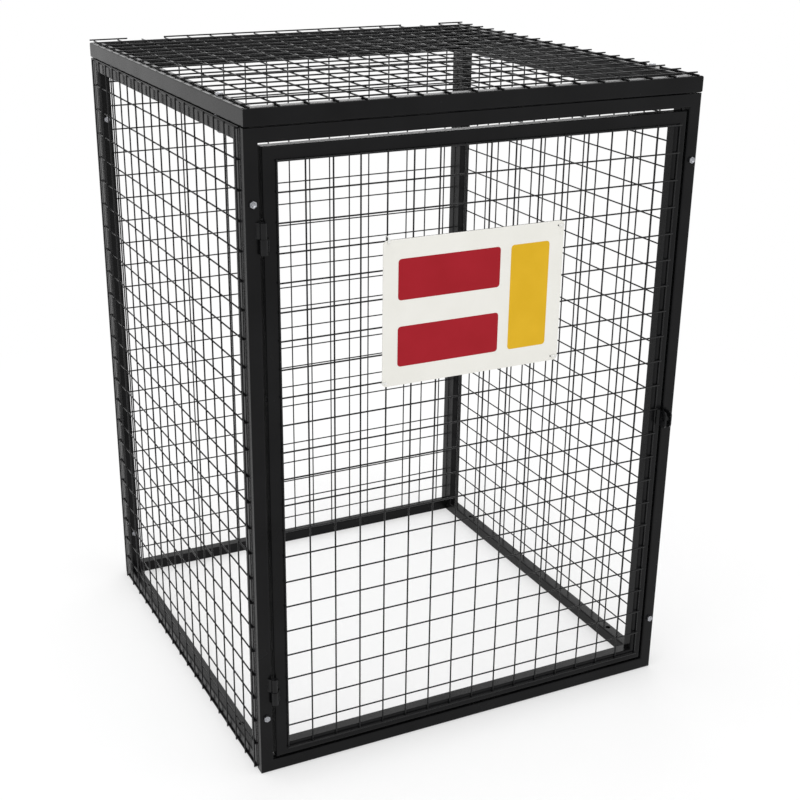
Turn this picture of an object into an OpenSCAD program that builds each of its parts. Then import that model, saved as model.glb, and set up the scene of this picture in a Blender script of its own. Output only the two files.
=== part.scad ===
// Gas cylinder cage: wire mesh on frames of square steel tube, with one hinged door.
// All lengths are in millimetres and +Z is up. The origin is on the floor, at the
// middle of the cage's width and of its overall depth. The door faces -Y.

/* [Cage] */
// Width of the body and of the roof panel
cage_w = 900; // [700:5:1400]
// Depth of the body and of the roof panel
cage_d = 905; // [600:5:1400]
// Height of the body, from the floor to the joint under the roof panel
body_h = 1225; // [900:5:1800]
// Height of the joint between the body and the roof panel
roof_gap = 1; // [0.5:0.5:5]

/* [Tube] */
// Side of the square steel tube that every frame is made of
tube = 25; // [20:1:40]
// Outside corner radius of the tube
tube_r = 3; // [1.5:0.5:4]
// Height of the roof panel's tubes
roof_tube_h = 30; // [20:1:40]

/* [Door] */
// Clearance between the door and the hinge post
hinge_side_gap = 6; // [5:0.5:10]
// Clearance between the door and the lock post
lock_side_gap = 5; // [5:0.5:10]
// Clearance under the door
sill_gap = 5; // [5:0.5:10]
// Clearance over the door
head_gap = 6; // [5:0.5:10]

/* [Wire mesh] */
// Diameter of the wire, across its flats
wire_d = 3; // [2:0.25:4]
// Spacing aimed at between the wires of a sheet, which are then spaced evenly
mesh_pitch = 50.8; // [40:0.2:75]
// Depth to which the spot welds press crossing wires into each other
weld_sink = 0.3; // [0.1:0.05:0.5]
// Length of wire past the last wire that it crosses
wire_tip = 2.3; // [2:0.1:4]
// Distance from a side panel's edges to the middle of its outermost wires
side_mesh_in = 2.5; // [2:0.1:10]
// Distance from the back panel's side edges to the middle of its outermost uprights
back_mesh_in = 41; // [30:1:60]
// Length of the back sheet's cross wires past its outermost uprights
back_mesh_tip = 26; // [20:1:29]
// Distance from the door's hinge side to its first upright wire
door_mesh_hinge = 24.5; // [8:0.5:30]
// Distance from the door's lock side to its last upright wire
door_mesh_lock = 15; // [8:0.5:30]
// Distance from the door's lower edge to its lowest cross wire
door_mesh_foot = 16; // [8:0.5:30]
// Distance from the door's upper edge to its highest cross wire
door_mesh_head = 24; // [8:0.5:30]

/* [Roof mesh] */
// Distance from the roof panel's sides to the middle of its outermost long wires
roof_mesh_side = 11; // [8:0.5:20]
// Length of the roof's cross wires past its outermost long wires
roof_mesh_tip = 10; // [2:0.5:12]
// Distance from the roof panel's front to its first cross wire
roof_mesh_front = 18; // [4:0.5:20]
// Distance by which the last cross wire stands out behind the roof panel
roof_overhang = 2.5; // [2:0.5:10]
// Place of the wire that is cut short behind, counted inwards from each side
roof_cut = 2; // [1:1:4]
// Length of the last cross wire's outer pieces past the wire beside the cut
roof_cut_stub = 20; // [5:1:30]
// Room left in the outermost long wires to each side of the front roof bolts
roof_bolt_room = 21; // [15:1:30]

/* [Hinges] */
// Distance from the door opening's ends to the middle of each hinge
hinge_in = 155; // [80:5:300]
// Length of a whole hinge
hinge_len = 54; // [40:1:80]
// Diameter of the hinge half on the post
post_barrel_d = 12; // [10:0.5:12]
// Diameter of the hinge half on the door
door_barrel_d = 14; // [12:0.5:14]
// Diameter of the hinge pin
pin_d = 6; // [5:0.5:7]
// Running clearance round the hinge pin, on the radius
pin_clear = 0.05; // [0.02:0.01:0.1]
// Gap between the two halves of a hinge
barrel_gap = 0.3; // [0.1:0.1:0.5]
// Distance of the hinge axis in front of the tubes
hinge_out = 6; // [6:0.5:8]
// Width of the weld that carries a hinge half on its tube
weld_w = 12; // [11:0.5:14]

/* [Padlock ears] */
// Height of the ears' middle above the floor
ear_z = 588; // [300:1:800]
// Reach of an ear in front of the tubes
ear_reach = 24; // [20:0.5:35]
// Height of an ear
ear_h = 34; // [26:1:50]
// Thickness of an ear
ear_t = 3; // [2:0.5:5]
// Radius of an ear's front corners
ear_r = 8; // [3:0.5:9]
// Diameter of the padlock hole
ear_hole_d = 10; // [6:0.5:12]
// Distance of the padlock hole from an ear's front edge
ear_hole_in = 11; // [9:0.5:12]
// Distance from the tubes' edges at the lock side gap to the ears
ear_in = 2; // [2:0.5:6]
// Leg of the weld bead along each ear's foot
ear_bead = 4; // [3:0.5:6]

/* [Sign] */
// Width of the sign
sign_w = 364; // [200:1:420]
// Height of the sign
sign_h = 266; // [150:1:300]
// Thickness of the sign
sign_t = 2; // [1:0.5:4]
// Distance from the cage's left side to the sign
sign_x = 245; // [150:1:250]
// Distance from the top of the body down to the sign's upper edge
sign_head = 207; // [100:1:320]
// Radius of the sign's corners
sign_r = 8; // [3:1:20]

/* [Fixings] */
// Diameter of the fixing holes in the side rails
fix_hole_d = 11; // [8:0.5:14]
// Distance of the fixing holes from the cage's front and back
fix_in = 140; // [80:5:220]
// Outer diameter of the thin spacers between the body and the roof panel
spacer_d = 20; // [16:1:22]

/* [Hidden] */

frame_paint = [0.05, 0.05, 0.055];
wire_paint = [0.09, 0.09, 0.095];
steel = [0.62, 0.63, 0.65];
sign_white = [0.93, 0.93, 0.91];

// Overlap that keeps a cutting shape clear of the faces it doesn't cut
eps = 1;

// Levels of the two layers of wires over the face that carries a sheet
wire_near = wire_d / 2;
wire_far = wire_near + wire_d - weld_sink;
mesh_t = wire_far + wire_d / 2;

// Reach of the whole cage to the front and to the back of its body, which centres it
back_reach = max(roof_overhang + wire_tip, mesh_t);
mid_y = (cage_d + back_reach - ear_reach) / 2;

// Side panels stand between the front frame and the back panel
side_d = cage_d - 2 * tube;

// Door leaf, in the plane of the front frame
door_x = tube + hinge_side_gap;
door_z = tube + sill_gap;
door_w = cage_w - 2 * tube - hinge_side_gap - lock_side_gap;
door_h = body_h - 2 * tube - sill_gap - head_gap;

roof_z = body_h + roof_gap;
roof_top = roof_z + roof_tube_h;

// Fixings between the side panels and the roof panel or the floor, front and rear
fix_ys = [fix_in, cage_d - fix_in];
roof_skin = 3;

sign_z = body_h - sign_head - sign_h;

hinge_x = tube + hinge_side_gap / 2;
hinge_y = -hinge_out;
barrel_len = (hinge_len - barrel_gap) / 2;
lower_hinge_z = tube + hinge_in;
upper_hinge_z = body_h - tube - hinge_in;

// Evenly spaced places from one end to the other, about a pitch apart
function places(from, to, pitch) =
    let (n = max(1, round((to - from) / pitch)))
    [for (i = [0 : n]) from + i * (to - from) / n];

// Places whose positions in the list lie between two bounds, both included
function slice(list, first, last) = [for (i = [first : last]) list[i]];

side_ups = places(side_mesh_in, side_d - side_mesh_in, mesh_pitch);
back_ups = places(back_mesh_in, cage_w - back_mesh_in, mesh_pitch);
body_rows = places(side_mesh_in, body_h - side_mesh_in, mesh_pitch);
door_ups = places(door_mesh_hinge, door_w - door_mesh_lock, mesh_pitch);
door_rows = places(door_mesh_foot, door_h - door_mesh_head, mesh_pitch);
roof_longs = places(roof_mesh_side, cage_w - roof_mesh_side, mesh_pitch);
roof_rows = places(roof_mesh_front, cage_d + roof_overhang, mesh_pitch);

// The body's sheets are made in two parts that meet midway between two rows
split_row = floor(len(body_rows) / 2);
split_z = (body_rows[split_row - 1] + body_rows[split_row]) / 2;

// Moves the cage so that its origin is at the middle of its overall footprint
module centred() {
    translate([-cage_w / 2, -mid_y, 0]) children();
}

// Stands a panel, drawn upright with its outer face on y = 0 and seen from outside
module stand(side) {
    if (side == "front") children();
    if (side == "right") translate([cage_w, tube, 0]) rotate(90) children();
    if (side == "back") translate([cage_w, cage_d, 0]) rotate(180) children();
    if (side == "left") translate([0, cage_d - tube, 0]) rotate(-90) children();
}

// Lays a panel, drawn upright with its outer face on y = 0, as the roof
module lay_roof() {
    translate([0, 0, roof_top]) rotate([-90, 0, 0]) children();
}

// Section of the tube with its rounded corners, depth being its size across the panel
module tube_section(depth) {
    translate([tube_r, 0]) square([depth - 2 * tube_r, tube]);
    translate([0, tube_r]) square([depth, tube - 2 * tube_r]);
    for (u = [tube_r, depth - tube_r], v = [tube_r, tube - tube_r])
        translate([u, v]) circle(r = tube_r, $fn = 24);
}

// Length of tube along x, with its outer side on z = 0 and both ends mitred
module mitred_tube(length, depth) {
    intersection() {
        rotate([90, 0, 90]) linear_extrude(length) tube_section(depth);
        translate([0, depth + eps, 0]) rotate([90, 0, 0]) linear_extrude(depth + 2 * eps)
            polygon([[-eps, -eps], [length + eps, -eps],
                     [length - tube - eps, tube + eps], [tube + eps, tube + eps]]);
    }
}

// One member of an upright rectangular frame whose outer face is on y = 0
module frame_member(w, h, member, depth = tube) {
    if (member == "bottom") mitred_tube(w, depth);
    if (member == "top") translate([0, 0, h]) mirror([0, 0, 1]) mitred_tube(w, depth);
    if (member == "left") mirror([1, 0, -1]) mitred_tube(h, depth);
    if (member == "right")
        translate([w, 0, 0]) mirror([1, 0, 0]) mirror([1, 0, -1]) mitred_tube(h, depth);
}

// Six-sided wire along z, with two of its flats facing along y
module wire(length) {
    cylinder(d = wire_d / cos(30), h = length, $fn = 6);
}

// Upright wires at the places xs, at a level in front of the panel's face
module up_wires(xs, ends, level) {
    for (x = xs) translate([x, -level, ends[0]]) wire(ends[1] - ends[0]);
}

// Cross wires at the heights zs, at a level in front of the panel's face
module cross_wires(zs, ends, level) {
    for (z = zs) translate([ends[0], -level, z]) rotate([0, 90, 0]) wire(ends[1] - ends[0]);
}

// Part of a body sheet: uprights on the tubes, with cross wires welded over them
module body_sheet(ups, part, tip) {
    lower = part == "lower";
    rows = lower ? slice(body_rows, 0, split_row - 1)
                 : slice(body_rows, split_row, len(body_rows) - 1);
    foot = lower ? rows[0] - wire_tip : split_z;
    head = lower ? split_z : rows[len(rows) - 1] + wire_tip;
    up_wires(ups, [foot, head], wire_near);
    cross_wires(rows, [ups[0] - tip, ups[len(ups) - 1] + tip], wire_far);
}

// Half of a hinge, from z = 0 up, with its weld reaching to one side along the tube's face
module barrel(d, to_side) {
    cylinder(d = d, h = barrel_len, $fn = 48);
    linear_extrude(barrel_len)
        polygon([[0, 0], [0, hinge_out], [to_side * weld_w, hinge_out],
                 [to_side * (hinge_out + tube_r / 2), 0]]);
}

// Upper half of a hinge, welded to the post, with the pin that stands down from it
module hinge_post_half(z) {
    translate([hinge_x, hinge_y, z]) {
        translate([0, 0, barrel_gap / 2]) barrel(post_barrel_d, -1);
        translate([0, 0, -hinge_len / 2 + barrel_gap])
            cylinder(d = pin_d, h = hinge_len / 2, $fn = 48);
    }
}

// Lower half of a hinge, welded to the door, with the bore for the pin
module hinge_door_half(z) {
    translate([hinge_x, hinge_y, z - hinge_len / 2]) difference() {
        barrel(door_barrel_d, 1);
        translate([0, 0, -eps])
            cylinder(d = pin_d + 2 * pin_clear, h = barrel_len + 2 * eps, $fn = 48);
    }
}

// Padlock ear that stands forward from y = 0, with its weld bead to one side
module padlock_ear(bead_side) {
    flat_h = ear_h - 2 * ear_r;
    difference() {
        translate([0, 0, -ear_h / 2]) {
            translate([0, -ear_reach + ear_r, 0]) cube([ear_t, ear_reach - ear_r, ear_h]);
            translate([0, -ear_reach, ear_r]) cube([ear_t, ear_r, flat_h]);
            for (z = [ear_r, ear_h - ear_r]) translate([0, -ear_reach + ear_r, z])
                rotate([0, 90, 0]) cylinder(r = ear_r, h = ear_t, $fn = 48);
        }
        translate([-eps, -ear_reach + ear_hole_in, 0]) rotate([0, 90, 0])
            cylinder(d = ear_hole_d, h = ear_t + 2 * eps, $fn = 48);
    }
    translate([bead_side > 0 ? ear_t : 0, 0, -ear_h / 2]) linear_extrude(ear_h)
        polygon([[0, 0], [bead_side * ear_bead, 0], [0, -ear_bead]]);
}

// Fixing holes in the left and right rails, at the same places in the roof and body
module fixing_holes(ys, z, height) {
    for (x = [tube / 2, cage_w - tube / 2], y = ys)
        translate([x, y, z]) cylinder(d = fix_hole_d, h = height, $fn = 48);
}

module front_member(member) {
    color(frame_paint) centred() stand("front") frame_member(cage_w, body_h, member);
}

module side_member(side, member) {
    color(frame_paint) centred() difference() {
        stand(side) frame_member(side_d, body_h, member);
        if (member == "bottom") fixing_holes(fix_ys, -eps, tube + 2 * eps);
        if (member == "top") fixing_holes(fix_ys, body_h - tube - eps, tube + 2 * eps);
    }
}

module back_member(member) {
    color(frame_paint) centred() stand("back") frame_member(cage_w, body_h, member);
}

// The front bolts pass through the roof's side rails, and the rear ones end inside them
module roof_member(member) {
    color(frame_paint) centred() difference() {
        lay_roof() frame_member(cage_w, cage_d, member, roof_tube_h);
        if (member == "left" || member == "right") {
            fixing_holes([fix_ys[0]], roof_z - eps, roof_tube_h + 2 * eps);
            fixing_holes([fix_ys[1]], roof_z - eps, roof_tube_h - roof_skin + eps);
        }
    }
}

module side_sheet(side, part) {
    color(wire_paint) centred() stand(side) body_sheet(side_ups, part, wire_tip);
}

module back_sheet(part) {
    color(wire_paint) centred() stand("back") body_sheet(back_ups, part, back_mesh_tip);
}

module front_left_post() { front_member("left"); }
module front_right_post() { front_member("right"); }
module front_top_rail() { front_member("top"); }
module front_bottom_rail() { front_member("bottom"); }

module left_front_stile() { side_member("left", "right"); }
module left_rear_stile() { side_member("left", "left"); }
module left_top_rail() { side_member("left", "top"); }
module left_bottom_rail() { side_member("left", "bottom"); }
module left_mesh_lower() { side_sheet("left", "lower"); }
module left_mesh_upper() { side_sheet("left", "upper"); }

module right_front_stile() { side_member("right", "left"); }
module right_rear_stile() { side_member("right", "right"); }
module right_top_rail() { side_member("right", "top"); }
module right_bottom_rail() { side_member("right", "bottom"); }
module right_mesh_lower() { side_sheet("right", "lower"); }
module right_mesh_upper() { side_sheet("right", "upper"); }

module back_left_stile() { back_member("right"); }
module back_right_stile() { back_member("left"); }
module back_top_rail() { back_member("top"); }
module back_bottom_rail() { back_member("bottom"); }
module back_mesh_lower() { back_sheet("lower"); }
module back_mesh_upper() { back_sheet("upper"); }

module roof_front_rail() { roof_member("bottom"); }
module roof_back_rail() { roof_member("top"); }
module roof_left_rail() { roof_member("left"); }
module roof_right_rail() { roof_member("right"); }

// Roof sheet: long wires on the tubes, with cross wires welded over them. The outermost long
// wires are cut out round the front bolts. The last cross wire stands out behind, and it is
// missing where one long wire near each side is cut short.
module roof_mesh() {
    last = len(roof_longs) - 1;
    last_row = roof_rows[len(roof_rows) - 1];
    outer = [roof_longs[0], roof_longs[last]];
    cut = [roof_longs[roof_cut], roof_longs[last - roof_cut]];
    whole = [for (i = [1 : last - 1]) if (i != roof_cut && i != last - roof_cut) roof_longs[i]];
    left_end = roof_longs[0] - roof_mesh_tip;
    right_end = roof_longs[last] + roof_mesh_tip;
    color(wire_paint) centred() lay_roof() {
        up_wires(whole, [0, last_row + wire_tip], wire_near);
        up_wires(cut, [0, cage_d], wire_near);
        up_wires(outer, [0, fix_in - roof_bolt_room], wire_near);
        up_wires(outer, [fix_in + roof_bolt_room, last_row + wire_tip], wire_near);
        cross_wires(slice(roof_rows, 0, len(roof_rows) - 2), [left_end, right_end], wire_far);
        cross_wires([last_row], [left_end, roof_longs[roof_cut - 1] + roof_cut_stub], wire_far);
        cross_wires([last_row], [roof_longs[roof_cut + 1] - wire_tip,
                                 roof_longs[last - roof_cut - 1] + wire_tip], wire_far);
        cross_wires([last_row], [roof_longs[last - roof_cut + 1] - wire_tip, right_end], wire_far);
    }
}

// Rings that carry the roof panel at its fixings
module roof_spacers() {
    color(steel) centred() difference() {
        for (x = [tube / 2, cage_w - tube / 2], y = fix_ys)
            translate([x, y, body_h]) cylinder(d = spacer_d, h = roof_gap, $fn = 48);
        fixing_holes(fix_ys, body_h - eps, roof_gap + 2 * eps);
    }
}

module upper_hinge_post_half() { color(frame_paint) centred() hinge_post_half(upper_hinge_z); }
module lower_hinge_post_half() { color(frame_paint) centred() hinge_post_half(lower_hinge_z); }
module upper_hinge_door_half() { color(frame_paint) centred() hinge_door_half(upper_hinge_z); }
module lower_hinge_door_half() { color(frame_paint) centred() hinge_door_half(lower_hinge_z); }

module post_padlock_ear() {
    color(frame_paint) centred() translate([cage_w - tube + ear_in, 0, ear_z]) padlock_ear(1);
}

module door_padlock_ear() {
    color(frame_paint) centred()
        translate([door_x + door_w - ear_in - ear_t, 0, ear_z]) padlock_ear(-1);
}

module door_member(member) {
    color(frame_paint) centred() translate([door_x, 0, door_z])
        frame_member(door_w, door_h, member);
}

module door_left_stile() { door_member("left"); }
module door_right_stile() { door_member("right"); }
module door_top_rail() { door_member("top"); }
module door_bottom_rail() { door_member("bottom"); }

// Door sheet on the front of the door frame: uprights on the tubes, cross wires in front
module door_mesh() {
    color(wire_paint) centred() translate([door_x, 0, door_z]) {
        up_wires(door_ups, [door_rows[0] - wire_tip,
                            door_rows[len(door_rows) - 1] + wire_tip], wire_near);
        cross_wires(door_rows, [door_ups[0] - wire_tip,
                                door_ups[len(door_ups) - 1] + wire_tip], wire_far);
    }
}

// Blank sign with round corners that lies on the door's cross wires
module sign_plate() {
    color(sign_white) centred() translate([sign_x, -mesh_t, sign_z])
        rotate([90, 0, 0]) linear_extrude(sign_t) {
            translate([sign_r, 0]) square([sign_w - 2 * sign_r, sign_h]);
            translate([0, sign_r]) square([sign_w, sign_h - 2 * sign_r]);
            for (u = [sign_r, sign_w - sign_r], v = [sign_r, sign_h - sign_r])
                translate([u, v]) circle(r = sign_r, $fn = 32);
        }
}

front_left_post();
front_right_post();
front_top_rail();
front_bottom_rail();
left_front_stile();
left_rear_stile();
left_top_rail();
left_bottom_rail();
left_mesh_lower();
left_mesh_upper();
right_front_stile();
right_rear_stile();
right_top_rail();
right_bottom_rail();
right_mesh_lower();
right_mesh_upper();
back_left_stile();
back_right_stile();
back_top_rail();
back_bottom_rail();
back_mesh_lower();
back_mesh_upper();
roof_front_rail();
roof_back_rail();
roof_left_rail();
roof_right_rail();
roof_mesh();
roof_spacers();
upper_hinge_post_half();
lower_hinge_post_half();
post_padlock_ear();
door_left_stile();
door_right_stile();
door_top_rail();
door_bottom_rail();
door_mesh();
upper_hinge_door_half();
lower_hinge_door_half();
door_padlock_ear();
sign_plate();
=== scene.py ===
import math

import bmesh
import bpy
from mathutils import Matrix, Vector


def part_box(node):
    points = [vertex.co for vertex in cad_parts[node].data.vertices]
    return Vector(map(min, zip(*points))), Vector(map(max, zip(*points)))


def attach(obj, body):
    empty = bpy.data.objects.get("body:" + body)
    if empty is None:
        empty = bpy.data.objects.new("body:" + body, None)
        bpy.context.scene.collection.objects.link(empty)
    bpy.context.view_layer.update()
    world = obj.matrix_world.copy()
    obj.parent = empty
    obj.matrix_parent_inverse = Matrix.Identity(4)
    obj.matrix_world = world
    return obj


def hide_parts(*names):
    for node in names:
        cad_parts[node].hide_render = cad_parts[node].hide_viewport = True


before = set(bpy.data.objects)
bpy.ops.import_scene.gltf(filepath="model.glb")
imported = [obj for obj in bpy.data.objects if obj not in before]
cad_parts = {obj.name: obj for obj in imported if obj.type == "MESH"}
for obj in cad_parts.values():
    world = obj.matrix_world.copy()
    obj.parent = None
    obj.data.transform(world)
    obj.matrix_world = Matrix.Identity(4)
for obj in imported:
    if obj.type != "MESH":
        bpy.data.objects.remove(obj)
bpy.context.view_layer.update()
bpy.context.scene.view_settings.view_transform = "Standard"

# Measures are in millimetres from the cage's front, left, bottom corner
MM = 0.001
CORNER = Vector(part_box("front_left_post")[0])
CAGE_W, CAGE_D, BODY_H = 900, 905, 1225
TUBE = 25
ROOF_TOP = 1256
SIDE_D = CAGE_D - 2 * TUBE
DOOR_X, DOOR_Z, DOOR_W, DOOR_H = 31, 30, 839, 1164
PITCH = 50.8
WIRE = 3
NEAR = 1.5
FAR = 4.2
TIP = 2.3
HINGE_X, HINGE_Y = 28, -6
HINGE_Z = {"lower": 180, "upper": 1045}


def at(x, y, z):
    return CORNER + Vector((x, y, z)) * MM


def panel(origin, across, up, out):
    """Places a flat panel: its own measures are across, up, and out from its face."""
    grid = Matrix((across, up, out)).transposed().to_4x4()
    return Matrix.Translation(at(*origin)) @ grid @ Matrix.Scale(MM, 4)


FRONT = panel((0, 0, 0), (1, 0, 0), (0, 0, 1), (0, -1, 0))
LEFT = panel((0, CAGE_D - TUBE, 0), (0, -1, 0), (0, 0, 1), (-1, 0, 0))
RIGHT = panel((CAGE_W, TUBE, 0), (0, 1, 0), (0, 0, 1), (1, 0, 0))
BACK = panel((CAGE_W, CAGE_D, 0), (-1, 0, 0), (0, 0, 1), (0, 1, 0))
ROOF = panel((0, 0, ROOF_TOP), (1, 0, 0), (0, 1, 0), (0, 0, 1))
DOOR = panel((DOOR_X, 0, DOOR_Z), (1, 0, 0), (0, 0, 1), (0, -1, 0))


# Camera, fitted to the photograph's vanishing lines
def set_camera():
    lens = bpy.data.cameras.new("camera")
    camera = bpy.data.objects.new("camera", lens)
    bpy.context.scene.collection.objects.link(camera)
    camera.location = at(-778.864, -2085.501, 1628.140)
    camera.rotation_euler = [math.radians(a) for a in (67.7950, -0.3857, -25.8809)]
    lens.sensor_width = 36
    lens.lens = 62.860
    lens.shift_x = 0.02804
    lens.shift_y = 0.03001
    lens.clip_start = 0.05
    bpy.context.scene.camera = camera


set_camera()


# Effects that several finishes share
def start_group(name, inputs, outputs):
    group = bpy.data.node_groups.new(name, "ShaderNodeTree")
    for label, value, low, high in inputs:
        socket = group.interface.new_socket(label, in_out="INPUT", socket_type="NodeSocketFloat")
        socket.default_value = value
        socket.min_value = low
        socket.max_value = high
    for label in outputs:
        group.interface.new_socket(label, in_out="OUTPUT", socket_type="NodeSocketFloat")
    return group, group.nodes.new("NodeGroupInput"), group.nodes.new("NodeGroupOutput")


def noise(tree, vector, scale, detail=3.0, roughness=0.5):
    node = tree.nodes.new("ShaderNodeTexNoise")
    node.inputs["Detail"].default_value = detail
    node.inputs["Roughness"].default_value = roughness
    tree.links.new(vector, node.inputs["Vector"])
    if isinstance(scale, (int, float)):
        node.inputs["Scale"].default_value = scale
    else:
        tree.links.new(scale, node.inputs["Scale"])
    return node.outputs["Fac"]


def remap(tree, value, low, high, to_low, to_high):
    node = tree.nodes.new("ShaderNodeMapRange")
    node.inputs["From Min"].default_value = low
    node.inputs["From Max"].default_value = high
    node.inputs["To Min"].default_value = to_low
    node.inputs["To Max"].default_value = to_high
    tree.links.new(value, node.inputs["Value"])
    return node.outputs["Result"]


def make_coat_group():
    """Sprayed and baked paint: orange peel, cloudy patches, and small specks of dust in it."""
    group, given, made = start_group(
        "coat grain",
        [("Peel Scale", 260.0, 10.0, 2000.0), ("Cloud Scale", 9.0, 0.5, 100.0),
         ("Speck Scale", 700.0, 50.0, 4000.0)],
        ["Peel", "Clouds", "Specks"])
    place = group.nodes.new("ShaderNodeTexCoord").outputs["Object"]
    peel = noise(group, place, given.outputs["Peel Scale"], 1.5, 0.45)
    group.links.new(peel, made.inputs["Peel"])
    clouds = noise(group, place, given.outputs["Cloud Scale"], 4.0, 0.55)
    group.links.new(remap(group, clouds, 0.32, 0.68, 0.0, 1.0), made.inputs["Clouds"])
    specks = noise(group, place, given.outputs["Speck Scale"], 1.0, 0.5)
    group.links.new(remap(group, specks, 0.66, 0.74, 0.0, 1.0), made.inputs["Specks"])
    return group


COAT = make_coat_group()


def blend_colours(tree, mask, first, second):
    node = tree.nodes.new("ShaderNodeMix")
    node.data_type = "RGBA"
    node.inputs["A"].default_value = (*first, 1)
    node.inputs["B"].default_value = (*second, 1)
    tree.links.new(mask, node.inputs["Factor"])
    return node.outputs["Result"]


def finish_of(name, dark, light, rough, peel=260.0, clouds=9.0, specks=700.0, height=0.00004,
              metallic=0.0, ior=1.5, coat=0.0):
    """A finish whose colour and gloss drift a little over the surface, with a fine peel."""
    material = bpy.data.materials.new(name)
    material.use_nodes = True
    tree = material.node_tree
    shader = tree.nodes["Principled BSDF"]
    grain = tree.nodes.new("ShaderNodeGroup")
    grain.node_tree = COAT
    grain.inputs["Peel Scale"].default_value = peel
    grain.inputs["Cloud Scale"].default_value = clouds
    grain.inputs["Speck Scale"].default_value = specks
    base = blend_colours(tree, grain.outputs["Clouds"], dark, light)
    tree.links.new(base, shader.inputs["Base Color"])
    gloss = remap(tree, grain.outputs["Clouds"], 0.0, 1.0, rough[0], rough[1])
    tree.links.new(gloss, shader.inputs["Roughness"])
    bump = tree.nodes.new("ShaderNodeBump")
    bump.inputs["Strength"].default_value = 1.0
    bump.inputs["Distance"].default_value = height
    tree.links.new(grain.outputs["Peel"], bump.inputs["Height"])
    tree.links.new(bump.outputs["Normal"], shader.inputs["Normal"])
    shader.inputs["Metallic"].default_value = metallic
    shader.inputs["IOR"].default_value = ior
    shader.inputs["Coat Weight"].default_value = coat
    return material


TUBE_PAINT = finish_of("black gloss coat on tube", (0.0035, 0.0035, 0.0038), (0.0065, 0.0065, 0.007),
                       (0.18, 0.29), ior=1.22)
WIRE_PAINT = finish_of("black gloss coat on wire", (0.004, 0.004, 0.0045), (0.009, 0.009, 0.0095),
                       (0.22, 0.34), peel=500.0, clouds=25.0, height=0.00003, ior=1.30)
HINGE_PAINT = finish_of("black gloss coat on hinge", (0.004, 0.004, 0.0045), (0.009, 0.009, 0.0095),
                        (0.20, 0.30), peel=500.0, clouds=40.0, height=0.00003, ior=1.27)
WELD_PAINT = finish_of("black gloss coat on weld", (0.004, 0.004, 0.0045), (0.010, 0.010, 0.011),
                       (0.20, 0.32), peel=900.0, clouds=60.0, height=0.00012, ior=1.26)
ZINC = finish_of("bright zinc plate", (0.25, 0.26, 0.28), (0.42, 0.42, 0.44), (0.18, 0.30),
                 peel=1500.0, clouds=320.0, height=0.00002, metallic=1.0)
SIGN_WHITE = finish_of("off-white sign sheet", (0.84, 0.83, 0.775), (0.87, 0.86, 0.81), (0.30, 0.38),
                       peel=420.0, clouds=14.0, height=0.00001, ior=1.3)
SIGN_YELLOW = finish_of("yellow print", (0.72, 0.43, 0.016), (0.76, 0.46, 0.021), (0.32, 0.40),
                        peel=420.0, clouds=18.0, height=0.00001, ior=1.2)
SIGN_RED = finish_of("red print", (0.345, 0.010, 0.018), (0.375, 0.012, 0.022), (0.32, 0.40),
                     peel=420.0, clouds=18.0, height=0.00001, ior=1.2)
# Near-black colour painted as the shade inside the sign's tie holes.
HOLE_SHADE = finish_of("painted shade in tie holes", (0.012, 0.011, 0.010), (0.02, 0.018, 0.016), (0.35, 0.45),
                      peel=420.0, clouds=18.0, height=0.00001)
NYLON = finish_of("white nylon", (0.78, 0.78, 0.76), (0.84, 0.84, 0.82), (0.35, 0.45),
                  peel=1200.0, clouds=90.0, height=0.00002)


def finish_piece(name, body, bm, material, crease=35):
    """Turns a bmesh into a named piece that rides on a body and takes a finish."""
    mesh = bpy.data.meshes.new(name)
    bm.normal_update()
    bm.to_mesh(mesh)
    bm.free()
    mesh.materials.append(material)
    mesh.shade_smooth()
    mesh.set_sharp_from_angle(angle=math.radians(crease))
    made = bpy.data.objects.new(name, mesh)
    bpy.context.scene.collection.objects.link(made)
    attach(made, body)
    return made


def places(first, last, pitch=PITCH):
    count = max(1, math.floor((last - first) / pitch + 0.5))
    return [first + i * (last - first) / count for i in range(count + 1)]


def merge_into(bm, part):
    mesh = bpy.data.meshes.new("joined")
    part.to_mesh(mesh)
    part.free()
    bm.from_mesh(mesh)
    bpy.data.meshes.remove(mesh)


def repeat(bm, steps):
    """Copies what a bmesh holds by each of several steps from its first place."""
    first = bm.verts[:] + bm.edges[:] + bm.faces[:]
    for step in steps:
        copy = bmesh.ops.duplicate(bm, geom=first)["geom"]
        bmesh.ops.translate(bm, verts=[g for g in copy if isinstance(g, bmesh.types.BMVert)], vec=step)


# Wire sheets, drawn in a panel's own measures
def add_wires(bm, along, spots, ends, level):
    """Round wires along u or v, at the given places across, with trimmed ends."""
    part = bmesh.new()
    length, middle = ends[1] - ends[0], (ends[0] + ends[1]) / 2
    tip = (spots[0], middle, level) if along == "v" else (middle, spots[0], level)
    turn = Matrix.Rotation(math.radians(-90), 4, "X") if along == "v" else \
        Matrix.Rotation(math.radians(90), 4, "Y")
    bmesh.ops.create_cone(part, cap_ends=True, segments=12, radius1=WIRE / 2, radius2=WIRE / 2,
                          depth=length, matrix=Matrix.Translation(tip) @ turn)
    rims = [e for e in part.edges if any(len(f.verts) > 4 for f in e.link_faces)]
    bmesh.ops.bevel(part, geom=rims, offset=0.35, offset_type="OFFSET", segments=2, profile=0.5,
                    affect="EDGES", material=-1)
    across = [p - spots[0] for p in spots[1:]]
    repeat(part, [(p, 0, 0) if along == "v" else (0, p, 0) for p in across])
    merge_into(bm, part)


def add_spot_welds(bm, ups, rows):
    """Small swellings where the wires are pressed and welded into each other."""
    part = bmesh.new()
    shape = Matrix.Translation((ups[0], rows[0], (NEAR + FAR) / 2)) @ Matrix.Diagonal((1, 1, 1.2, 1))
    bmesh.ops.create_uvsphere(part, u_segments=8, v_segments=5, radius=1.75, matrix=shape)
    repeat(part, [(0, v - rows[0], 0) for v in rows[1:]])
    repeat(part, [(u - ups[0], 0, 0) for u in ups[1:]])
    merge_into(bm, part)


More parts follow.
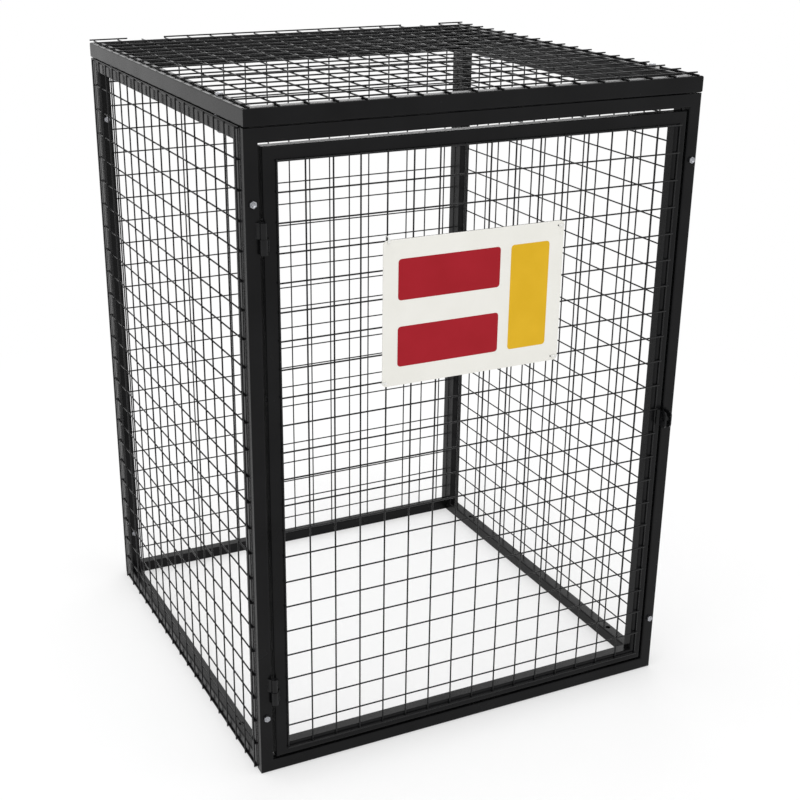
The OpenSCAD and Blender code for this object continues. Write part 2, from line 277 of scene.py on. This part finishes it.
def finish_sheet(name, body, face, bm, nodes):
    bmesh.ops.transform(bm, matrix=face, verts=bm.verts)
    made = finish_piece(name, body, bm, WIRE_PAINT, 40)
    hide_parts(*nodes)


def make_sheet(name, body, face, ups, rows, tip, nodes, up_level=NEAR, row_level=FAR):
    bm = bmesh.new()
    add_wires(bm, "v", ups, (rows[0] - TIP, rows[-1] + TIP), up_level)
    add_wires(bm, "u", rows, (ups[0] - tip, ups[-1] + tip), row_level)
    add_spot_welds(bm, ups, rows)
    finish_sheet(name, body, face, bm, nodes)


def make_roof_sheet():
    """Long wires on the tubes, cut out round the front bolts, with cross wires over them."""
    longs, rows = places(11, CAGE_W - 11), places(18, CAGE_D + 2.5)
    back = rows[-1]
    outer, short = [longs[0], longs[-1]], [longs[2], longs[-3]]
    whole = [u for u in longs if u not in outer + short]
    bm = bmesh.new()
    add_wires(bm, "v", whole, (0, back + TIP), NEAR)
    add_wires(bm, "v", short, (0, CAGE_D), NEAR)
    add_wires(bm, "v", outer, (0, 119), NEAR)
    add_wires(bm, "v", outer, (161, back + TIP), NEAR)
    add_wires(bm, "u", rows[:-1], (longs[0] - 10, longs[-1] + 10), FAR)
    add_wires(bm, "u", [back], (longs[0] - 10, longs[1] + 20), FAR)
    add_wires(bm, "u", [back], (longs[3] - TIP, longs[-4] + TIP), FAR)
    add_wires(bm, "u", [back], (longs[-2] - TIP, longs[-1] + 10), FAR)
    add_spot_welds(bm, longs, rows[:-1])
    add_spot_welds(bm, [u for u in longs if u not in short], [back])
    finish_sheet("roof_wire_sheet", "cage", ROOF, bm, ["roof_mesh"])


body_rows = places(2.5, BODY_H - 2.5)
side_ups = places(2.5, SIDE_D - 2.5)
make_sheet("left_wire_sheet", "cage", LEFT, side_ups, body_rows, TIP,
           ["left_mesh_lower", "left_mesh_upper"], FAR, NEAR)
make_sheet("right_wire_sheet", "cage", RIGHT, side_ups, body_rows, TIP,
           ["right_mesh_lower", "right_mesh_upper"], FAR, NEAR)
make_sheet("back_wire_sheet", "cage", BACK, places(41, CAGE_W - 41), body_rows, 26,
           ["back_mesh_lower", "back_mesh_upper"])
make_roof_sheet()
make_sheet("door_wire_sheet", "door", DOOR, places(24.5, DOOR_W - 15), places(16, DOOR_H - 24), TIP,
           ["door_mesh"])


# Bolts and nuts
def seat(x, y, z, facing):
    """A place on a face: a shape drawn from its underside along Z stands out along facing."""
    out = Vector(facing)
    side = Vector((1, 0, 0)) if abs(out.x) < 0.5 else Vector((0, 1, 0))
    grid = Matrix((side, out.cross(side), out)).transposed().to_4x4()
    return Matrix.Translation(at(x, y, z)) @ grid @ Matrix.Scale(MM, 4)


def hex_block(bm, across, height, turn=0.0):
    """A six-sided block standing on a face; its top face is handed back so that the caller can chamfer its
    edges.
    """
    corner = across / math.sqrt(3)
    spin = Matrix.Rotation(math.radians(turn), 4, "Z")
    block = bmesh.ops.create_cone(bm, cap_ends=True, segments=6, radius1=corner, radius2=corner,
                                  depth=height, matrix=spin)
    bmesh.ops.translate(bm, verts=block["verts"], vec=(0, 0, height / 2))
    top = max((f for f in bm.faces if len(f.verts) == 6), key=lambda f: f.calc_center_median().z)
    return block["verts"], top


def add_hex_head(bm, where, turn=0.0):
    """A bolt head with a dished top and chamfered corners."""
    part = bmesh.new()
    verts, top = hex_block(part, 11.6, 5.0, turn)
    bmesh.ops.bevel(part, geom=list(top.edges), offset=0.9, offset_type="OFFSET", segments=2,
                    profile=0.5, affect="EDGES", material=-1)
    part.faces.ensure_lookup_table()
    top = max((f for f in part.faces if len(f.verts) == 6), key=lambda f: f.calc_center_median().z)
    dish = bmesh.ops.inset_region(part, faces=[top], thickness=1.3, depth=0.0)
    dish = bmesh.ops.inset_region(part, faces=[top], thickness=1.4, depth=-1.3)
    bmesh.ops.bevel(part, geom=[e for e in part.edges if abs(e.verts[0].co.z - e.verts[1].co.z) > 3],
                    offset=0.35, offset_type="OFFSET", segments=2, profile=0.5, affect="EDGES", material=-1)
    bmesh.ops.transform(part, matrix=where, verts=part.verts)
    merge_into(bm, part)


def add_dome_nut(bm, where, turn=0.0):
    """A closed nut: six flats under a round cap."""
    part = bmesh.new()
    verts, top = hex_block(part, 11.6, 4.2, turn)
    bmesh.ops.bevel(part, geom=list(top.edges), offset=0.6, offset_type="OFFSET", segments=2,
                    profile=0.5, affect="EDGES", material=-1)
    cap = bmesh.ops.create_uvsphere(part, u_segments=24, v_segments=14, radius=4.9,
                                    matrix=Matrix.Translation((0, 0, 3.9)) @ Matrix.Diagonal((1, 1, 0.5, 1)))
    low = [v for v in cap["verts"] if v.co.z < 3.4]
    bmesh.ops.delete(part, geom=low, context="VERTS")
    bmesh.ops.transform(part, matrix=where, verts=part.verts)
    merge_into(bm, part)


def make_bolts(name, seats, add):
    bm = bmesh.new()
    for i, (place, facing) in enumerate(seats):
        add(bm, seat(*place, facing), (3, -5, 9, -2, 14, 6)[i % 6])
    finish_piece(name, "cage", bm, ZINC, 30)


MID = TUBE / 2
for side, x in (("left", MID), ("right", CAGE_W - MID)):
    for level, z in (("lower", 122.5), ("upper", 1102.5)):
        tag = side + "_" + level
        make_bolts("front_bolt_" + tag, [((x, 0, z), (0, -1, 0))], add_hex_head)
        make_bolts("front_nut_" + tag, [((x, 2 * TUBE, z), (0, 1, 0))], add_dome_nut)
        make_bolts("rear_bolt_" + tag, [((x, CAGE_D, z), (0, 1, 0))], add_hex_head)
        if side == "left":
            make_bolts("rear_nut_" + tag, [((x, CAGE_D - 2 * TUBE, z), (0, -1, 0))], add_dome_nut)
    under = BODY_H - TUBE
    make_bolts("roof_bolt_" + side + "_front", [((x, 140, ROOF_TOP), (0, 0, 1))], add_hex_head)
    make_bolts("roof_nut_" + side + "_front", [((x, 140, under), (0, 0, -1))], add_dome_nut)
    make_bolts("roof_bolt_" + side + "_rear", [((x, CAGE_D - 140, under), (0, 0, -1))], add_hex_head)


# Weld beads
def add_bead(bm, start, end, radius, ripples=None):
    """A run of weld between two points, rippled along its length and drawn in at its ends."""
    a, b = at(*start), at(*end)
    length = (b - a).length / MM
    steps = max(8, int(length / 0.7))
    ring = bmesh.ops.create_circle(bm, cap_ends=False, segments=10, radius=1.0)["verts"]
    turn = (b - a).to_track_quat("Z", "Y").to_matrix().to_4x4()
    rings = [ring]
    for i in range(steps):
        edges = [e for e in bm.edges if e.verts[0] in rings[-1] and e.verts[1] in rings[-1]]
        grown = bmesh.ops.extrude_edge_only(bm, edges=edges)["geom"]
        rings.append([g for g in grown if isinstance(g, bmesh.types.BMVert)])
    for i, loop in enumerate(rings):
        t = i / steps
        swell = math.sqrt(max(0.0, 1 - (2 * t - 1) ** 8))
        r = radius * max(0.05, swell) * (1 + 0.09 * math.sin(t * length / 2.1 * 2 * math.pi))
        spot = Matrix.Translation(a.lerp(b, t)) @ turn @ Matrix.Scale(r * MM, 4)
        bmesh.ops.transform(bm, matrix=spot, verts=loop)
    bmesh.ops.holes_fill(bm, edges=[e for e in bm.edges if e.is_boundary and
                                    (e.verts[0] in rings[0] or e.verts[0] in rings[-1])], sides=12)


def make_beads(name, body, runs, radius):
    joined = bmesh.new()
    for start, end in runs:
        part = bmesh.new()
        add_bead(part, start, end, radius)
        bmesh.ops.recalc_face_normals(part, faces=part.faces)
        merge_into(joined, part)
    finish_piece(name, body, joined, WELD_PAINT, 60)


for level, z in HINGE_Z.items():
    make_beads(level + "_hinge_post_weld", "cage",
               [((HINGE_X - 9.5, -1.2, z + 1.5), (HINGE_X - 9.5, -1.2, z + 26))], 2.0)
    make_beads(level + "_hinge_door_weld", "door",
               [((HINGE_X + 10.0, -1.2, z - 26), (HINGE_X + 10.0, -1.2, z - 1.5))], 2.0)


# Sign: plain blocks of colour on an off-white sheet, held by four cable ties
SIGN_LOW, SIGN_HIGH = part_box("sign_plate")
SIGN_W = SIGN_HIGH[0] - SIGN_LOW[0]
SIGN_H = SIGN_HIGH[2] - SIGN_LOW[2]
SIGN_FACE = Matrix((
    (1, 0, 0, SIGN_LOW[0]),
    (0, 0, -1, SIGN_LOW[1]),
    (0, 1, 0, SIGN_LOW[2]),
    (0, 0, 0, 1)))


def print_block(name, material, blocks, radius):
    """Thin round-cornered blocks of print: left, right, top and bottom as shares of the sign."""
    bm = bmesh.new()
    for left, right, top, bottom in blocks:
        part = bmesh.new()
        grid = bmesh.ops.create_grid(part, x_segments=1, y_segments=1, size=0.5)["verts"]
        bmesh.ops.scale(part, verts=grid, vec=((right - left) * SIGN_W, (bottom - top) * SIGN_H, 1))
        bmesh.ops.translate(part, verts=grid, vec=((left + right) / 2 * SIGN_W,
                                                   (1 - (top + bottom) / 2) * SIGN_H, 0.00012))
        bmesh.ops.bevel(part, geom=part.verts[:], offset=radius, offset_type="OFFSET", segments=3,
                        profile=0.5, affect="VERTICES", material=-1)
        skirt = bmesh.ops.extrude_edge_only(part, edges=part.edges[:])["geom"]
        bmesh.ops.translate(part, verts=[g for g in skirt if isinstance(g, bmesh.types.BMVert)],
                            vec=(0, 0, -0.0002))
        bmesh.ops.transform(part, matrix=SIGN_FACE, verts=part.verts)
        bmesh.ops.recalc_face_normals(part, faces=part.faces)
        merge_into(bm, part)
    finish_piece(name, "door", bm, material, 30)


def painted_shade_disc(name, material, spots, outer, inner=0.0, lift=0.00012):
    """Thin dark discs or rings painted on the sign as the shade inside its tie holes: centres as shares of
    the sign, radii as shares of its width.
    """
    bm = bmesh.new()
    for u, v in spots:
        part = bmesh.new()
        start = part.verts.new(((inner if inner else 0.0) * SIGN_W, 0, lift))
        end = part.verts.new((outer * SIGN_W, 0, lift))
        low = part.verts.new((outer * SIGN_W, 0, lift - 0.0002))
        line = [part.edges.new((start, end)), part.edges.new((end, low))]
        bmesh.ops.spin(part, geom=[start, end, low] + line, cent=(0, 0, 0), axis=(0, 0, 1),
                       angle=2 * math.pi, steps=48, use_merge=True)
        bmesh.ops.remove_doubles(part, verts=part.verts, dist=0.000001)
        place = Matrix.Translation((u * SIGN_W, (1 - v) * SIGN_H, 0))
        bmesh.ops.transform(part, matrix=SIGN_FACE @ place, verts=part.verts)
        bmesh.ops.recalc_face_normals(part, faces=part.faces)
        front = max(part.faces, key=lambda f: f.calc_area())
        if front.normal.y > 0:
            bmesh.ops.reverse_faces(part, faces=part.faces)
        merge_into(bm, part)
    finish_piece(name, "door", bm, material, 30)


print_block("sign_yellow_block", SIGN_YELLOW, [(0.70, 0.92, 0.13, 0.87)], 0.006)
print_block("sign_red_blocks", SIGN_RED, [(0.08, 0.64, 0.13, 0.41), (0.08, 0.64, 0.59, 0.87)], 0.006)


def make_tie(name, x, z, reach, upright=False):
    """A cable tie from a hole in the sign, round the edge beside it and the wire behind."""
    side, half_x, half_y = math.copysign(1, reach), abs(reach) / 2, 4.9
    bm = bmesh.new()
    band = bmesh.ops.create_circle(bm, cap_ends=False, segments=40, radius=1.0)["verts"]
    for v in band:
        c, s = v.co.x, v.co.y
        v.co.x = math.copysign(abs(c) ** 0.45, c) * half_x
        v.co.y = math.copysign(abs(s) ** 0.45, s) * half_y
    grown = bmesh.ops.extrude_edge_only(bm, edges=bm.edges[:])["geom"]
    bmesh.ops.translate(bm, verts=[g for g in grown if isinstance(g, bmesh.types.BMVert)], vec=(0, 0, 2.6))
    bmesh.ops.recalc_face_normals(bm, faces=bm.faces)
    bmesh.ops.solidify(bm, geom=bm.faces[:], thickness=0.9)
    head = bmesh.ops.create_cube(bm, size=1.0)["verts"]
    bmesh.ops.scale(bm, verts=head, vec=(4.6, 3.0, 4.4))
    bmesh.ops.translate(bm, verts=head, vec=(side * (4.0 - half_x), -half_y - 0.6, 1.3))
    tail = bmesh.ops.create_cube(bm, size=1.0)["verts"]
    bmesh.ops.scale(bm, verts=tail, vec=(2.6, 3.2, 1.0))
    bmesh.ops.translate(bm, verts=tail, vec=(side * (4.0 - half_x), -half_y - 2.6, 1.3))
    blocks = [e for e in bm.edges if e.verts[0] in head and e.verts[1] in head]
    bmesh.ops.bevel(bm, geom=blocks, offset=0.5, offset_type="OFFSET", segments=2, profile=0.5,
                    affect="EDGES", material=-1)
    middle = at(x, -4.0, z + reach / 2) if upright else at(x + reach / 2, -4.0, z)
    turn = Matrix.Rotation(math.radians(-90 if upright else 0), 4, "Y")
    place = Matrix.Translation(middle) @ Matrix.Scale(MM, 4) @ turn @ Matrix.Translation((0, 0, -1.3))
    bmesh.ops.transform(bm, matrix=place, verts=bm.verts)
    bmesh.ops.recalc_face_normals(bm, faces=bm.faces)
    finish_piece(name, "door", bm, NYLON, 35)


LEFT_X, RIGHT_X = ((edge[0] - CORNER.x) / MM for edge in (SIGN_LOW, SIGN_HIGH))
LOW_Z, TOP_Z = ((edge[2] - CORNER.z) / MM for edge in (SIGN_LOW, SIGN_HIGH))
make_tie("sign_tie_upper_left", LEFT_X + 9.5, TOP_Z - 5.5, 13, True)
make_tie("sign_tie_lower_left", LEFT_X + 9.5, LOW_Z + 7.5, -10.5)
make_tie("sign_tie_upper_right", RIGHT_X - 12, TOP_Z - 8.5, 13)
make_tie("sign_tie_lower_right", RIGHT_X - 14, LOW_Z + 8, 15)
# Dark discs are painted at two tie holes to stand for the shade inside them; no hole is cut in the sheet.
painted_shade_disc("sign_tie_hole_shade", HOLE_SHADE, [(1 - 12 / 364, 8.5 / 266), (1 - 14 / 364, 1 - 8 / 266)], 1.7 / 364)


# Finishes of the solids that come with the frame
def dress_nodes():
    finishes = {"roof_spacers": ZINC, "sign_plate": SIGN_WHITE}
    for name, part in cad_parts.items():
        plain = WIRE_PAINT if "mesh" in name else TUBE_PAINT
        material = finishes.get(name, HINGE_PAINT if "hinge" in name or "ear" in name.split("_") else plain)
        if not part.material_slots:
            part.data.materials.append(material)
        for slot in part.material_slots:
            slot.material = material


dress_nodes()


# Studio: white surround, pale floor that keeps the shadow, and soft light
def make_world():
    world = bpy.data.worlds.new("white studio")
    bpy.context.scene.world = world
    world.use_nodes = True
    tree = world.node_tree
    tree.nodes.clear()
    out = tree.nodes.new("ShaderNodeOutputWorld")
    path = tree.nodes.new("ShaderNodeLightPath")
    seen = tree.nodes.new("ShaderNodeMath")
    seen.operation = "MAXIMUM"
    tree.links.new(path.outputs["Is Camera Ray"], seen.inputs[0])
    tree.links.new(path.outputs["Is Transmission Ray"], seen.inputs[1])
    glossy = tree.nodes.new("ShaderNodeMath")
    glossy.operation = "MAXIMUM"
    tree.links.new(seen.outputs[0], glossy.inputs[0])
    tree.links.new(path.outputs["Is Glossy Ray"], glossy.inputs[1])
    light = tree.nodes.new("ShaderNodeBackground")
    light.inputs["Color"].default_value = (1, 1, 1, 1)
    light.inputs["Strength"].default_value = 0.85
    white = tree.nodes.new("ShaderNodeBackground")
    white.inputs["Color"].default_value = (1, 1, 1, 1)
    white.inputs["Strength"].default_value = 1.0
    mix = tree.nodes.new("ShaderNodeMixShader")
    tree.links.new(glossy.outputs[0], mix.inputs["Fac"])
    tree.links.new(light.outputs[0], mix.inputs[1])
    tree.links.new(white.outputs[0], mix.inputs[2])
    tree.links.new(mix.outputs[0], out.inputs["Surface"])


def make_floor():
    bm = bmesh.new()
    bmesh.ops.create_circle(bm, cap_ends=True, segments=96, radius=4.0)
    mesh = bpy.data.meshes.new("floor")
    bm.to_mesh(mesh)
    bm.free()
    floor = bpy.data.objects.new("floor", mesh)
    bpy.context.scene.collection.objects.link(floor)
    floor.location.z = -0.0005
    material = bpy.data.materials.new("pale floor")
    material.use_nodes = True
    tree = material.node_tree
    tree.nodes.clear()
    out = tree.nodes.new("ShaderNodeOutputMaterial")
    matt = tree.nodes.new("ShaderNodeBsdfDiffuse")
    matt.inputs["Color"].default_value = (0.93, 0.93, 0.93, 1)
    glow = tree.nodes.new("ShaderNodeEmission")
    glow.inputs["Color"].default_value = (1, 1, 1, 1)
    glow.inputs["Strength"].default_value = 1.0
    place = tree.nodes.new("ShaderNodeTexCoord")
    far = tree.nodes.new("ShaderNodeVectorMath")
    far.operation = "LENGTH"
    tree.links.new(place.outputs["Object"], far.inputs[0])
    fade = remap(tree, far.outputs["Value"], 0.8, 2.2, 0.45, 1.0)
    mix = tree.nodes.new("ShaderNodeMixShader")
    tree.links.new(fade, mix.inputs["Fac"])
    tree.links.new(matt.outputs[0], mix.inputs[1])
    tree.links.new(glow.outputs[0], mix.inputs[2])
    tree.links.new(mix.outputs[0], out.inputs["Surface"])
    mesh.materials.append(material)


def add_lamp(name, place, aim, size, power):
    lamp = bpy.data.lights.new(name, "AREA")
    lamp.shape = "RECTANGLE"
    lamp.size, lamp.size_y = size
    lamp.energy = power
    holder = bpy.data.objects.new(name, lamp)
    bpy.context.scene.collection.objects.link(holder)
    holder.location = place
    holder.rotation_euler = (Vector(aim) - Vector(place)).to_track_quat("-Z", "Y").to_euler()
    return holder


make_world()
make_floor()
add_lamp("overhead softbox", (-0.6, -0.6, 3.6), (0, 0, 0.6), (2.4, 2.4), 45)
add_lamp("rear softbox", (1.1, 2.9, 2.7), (0, 0, 0.9), (3.6, 1.6), 28)
